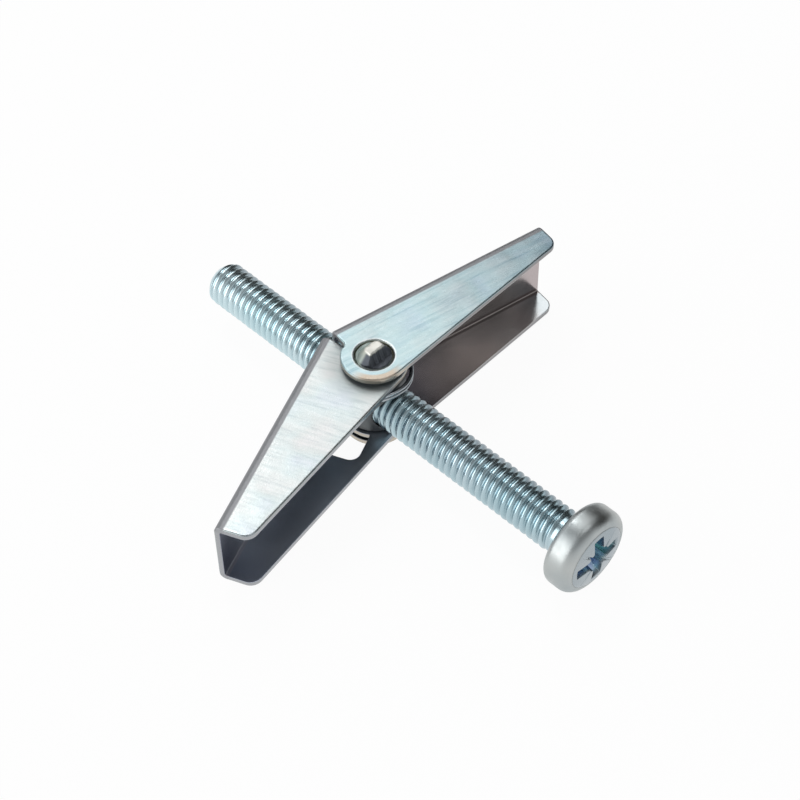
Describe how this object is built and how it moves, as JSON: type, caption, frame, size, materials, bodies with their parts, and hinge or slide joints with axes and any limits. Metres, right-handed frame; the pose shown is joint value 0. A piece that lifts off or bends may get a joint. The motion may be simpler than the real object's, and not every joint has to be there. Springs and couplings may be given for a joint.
{
  "type": "spring toggle bolt",
  "caption": "Spring toggle bolt: a pan-head machine screw through a barrel nut with folding channel wings that a torsion spring holds open.",
  "frame": {"origin": "centre of the flat face under the screw's head", "axes": "+X along the screw from its tip to its head; +Z along the pin that the wings swing on, towards the side that carries the spring; the screw's axis is the X axis"},
  "size_m": [0.0641, 0.0605, 0.0141],
  "materials": {
    "machine_screw": "bright zinc plate",
    "trunnion_nut": "bright zinc plate",
    "outer_wing": "bright zinc plate",
    "inner_wing": "bright zinc plate",
    "torsion_spring": "plain spring wire"
  },
  "bodies": {
    "nut": {"trunnion_nut": "trunnion_nut", "torsion_spring": "torsion_spring"},
    "screw": {"machine_screw": "machine_screw"},
    "outer_wing": {"outer_wing": "outer_wing"},
    "inner_wing": {"inner_wing": "inner_wing"}
  },
  "joints": [
    {"name": "screw_travel", "type": "slide", "parent": "nut", "child": "screw", "axis": [1, 0, 0], "range_m": [-0.0014, 0.024]},
    {"name": "outer_wing_fold", "type": "hinge", "parent": "nut", "child": "outer_wing", "pos_m": [-0.032, 0, 0.001], "axis": [0, 0, -1], "range_deg": [0, 83], "stiffness_Nm_per_rad": 0.02, "springref_deg": -34.38, "deforming": ["torsion_spring"]},
    {"name": "inner_wing_fold", "type": "hinge", "parent": "nut", "child": "inner_wing", "pos_m": [-0.032, 0, 0.001], "axis": [0, 0, 1], "range_deg": [0, 74], "stiffness_Nm_per_rad": 0.02, "springref_deg": -34.38, "deforming": ["torsion_spring"]}
  ]
}
